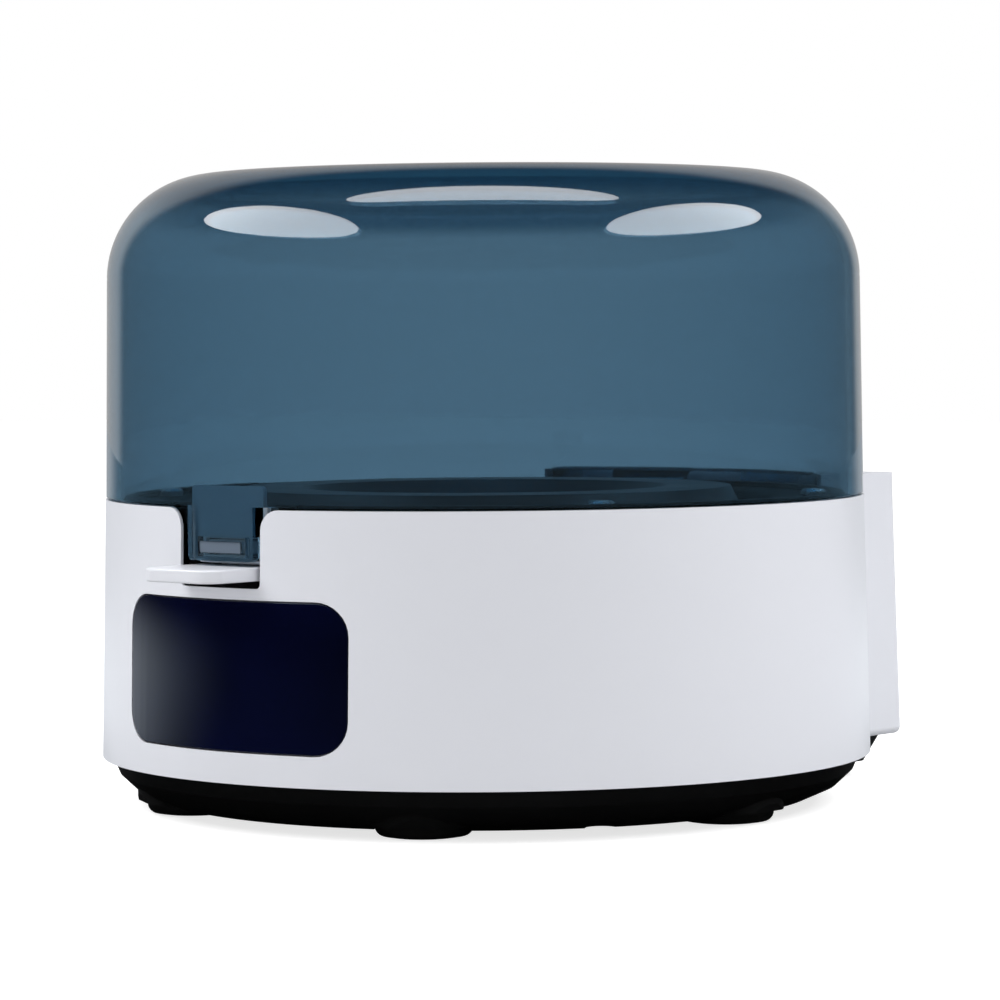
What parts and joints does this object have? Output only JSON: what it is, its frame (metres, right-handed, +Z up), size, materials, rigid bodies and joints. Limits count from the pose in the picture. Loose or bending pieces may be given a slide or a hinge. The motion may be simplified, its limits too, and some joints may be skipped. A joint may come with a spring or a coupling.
{
  "type": "mini centrifuge",
  "caption": "Round bench centrifuge with a hinged smoke dome lid, front latch tab, curved display window and an angled tube rotor.",
  "frame": {"origin": "on the bench under the rotor's vertical axis, at the centre of the outline's box", "axes": "+Z up along the rotor axis, -Y towards the latch and display, +Y towards the hinge block, +X to the right seen from the front"},
  "size_m": [0.1624, 0.1841, 0.1329],
  "materials": {
    "white_abs": "glossy moulded ABS",
    "smoke_polycarbonate": "polished smoke-blue polycarbonate",
    "black_rubber": "matt moulded rubber",
    "bright_steel": "bright steel",
    "zinc_steel": "zinc-plated steel",
    "black_lens": "polished black acrylic",
    "circuit_board": "green solder mask",
    "ribbon_cable": "grey ribbon cable",
    "red_lead": "soft PVC sleeve",
    "grey_polypropylene": "satin moulded polypropylene",
    "black_abs": "satin moulded ABS"
  },
  "bodies": {
    "base": {"housing": "white_abs", "bottom_pan": "black_abs", "bowl": "black_abs", "rim_gasket": "black_rubber", "hinge_pin": "bright_steel", "latch_guide": "black_abs", "latch_spring": "bright_steel", "display_lens": "black_lens", "display_module": "black_abs", "display_board": "circuit_board", "motor": "zinc_steel", "motor_plate": "zinc_steel", "main_board": "circuit_board", "power_switch": "black_abs", "dc_inlet": "black_abs", "board_screw_front": "bright_steel", "board_screw_rear": "bright_steel", "bowl_screw_front_left": "bright_steel", "bowl_screw_front_right": "bright_steel", "bowl_screw_rear_left": "bright_steel", "bowl_screw_rear_right": "bright_steel", "display_ribbon": "ribbon_cable", "display_screw_left": "bright_steel", "display_screw_right": "bright_steel", "foot_1": "black_rubber", "foot_2": "black_rubber", "foot_3": "black_rubber", "foot_4": "black_rubber", "foot_5": "black_rubber", "foot_6": "black_rubber", "inlet_lead": "red_lead", "latch_guide_screw_left": "bright_steel", "latch_guide_screw_right": "bright_steel", "lid_sensor": "black_abs", "motor_damper_1": "black_rubber", "motor_damper_2": "black_rubber", "motor_damper_3": "black_rubber", "motor_face_screw_left": "bright_steel", "motor_face_screw_right": "bright_steel", "motor_lead": "black_abs", "motor_screw_1": "bright_steel", "motor_screw_2": "bright_steel", "motor_screw_3": "bright_steel", "pan_screw_front_left": "bright_steel", "pan_screw_front_right": "bright_steel", "pan_screw_rear_left": "bright_steel", "pan_screw_rear_right": "bright_steel", "switch_lead": "black_abs"},
    "lid": {"lid": "smoke_polycarbonate"},
    "latch": {"latch_button": "white_abs"},
    "rotor_group": {"rotor": "grey_polypropylene", "rotor_knob": "black_abs", "drive_shaft": "bright_steel"},
    "rocker": {"power_rocker": "black_abs"}
  },
  "joints": [
    {"name": "lid_hinge", "type": "hinge", "parent": "base", "child": "lid", "pos_m": [0, 0.0866, 0.0639], "axis": [-1, 0, 0], "range_deg": [0, 85]},
    {"name": "latch_press", "type": "slide", "parent": "base", "child": "latch", "axis": [0, 1, 0], "range_m": [-0.0018, 0.003], "stiffness_N_per_m": 400, "deforming": ["latch_spring"]},
    {"name": "rotor_spin", "type": "hinge", "parent": "base", "child": "rotor_group", "pos_m": [0, 0, 0.06], "axis": [0, 0, 1], "continuous": true},
    {"name": "power_rocker_tilt", "type": "hinge", "parent": "base", "child": "rocker", "pos_m": [0.017, 0.08735, 0.0375], "axis": [-1, 0, 0], "range_deg": [0, 20]}
  ]
}
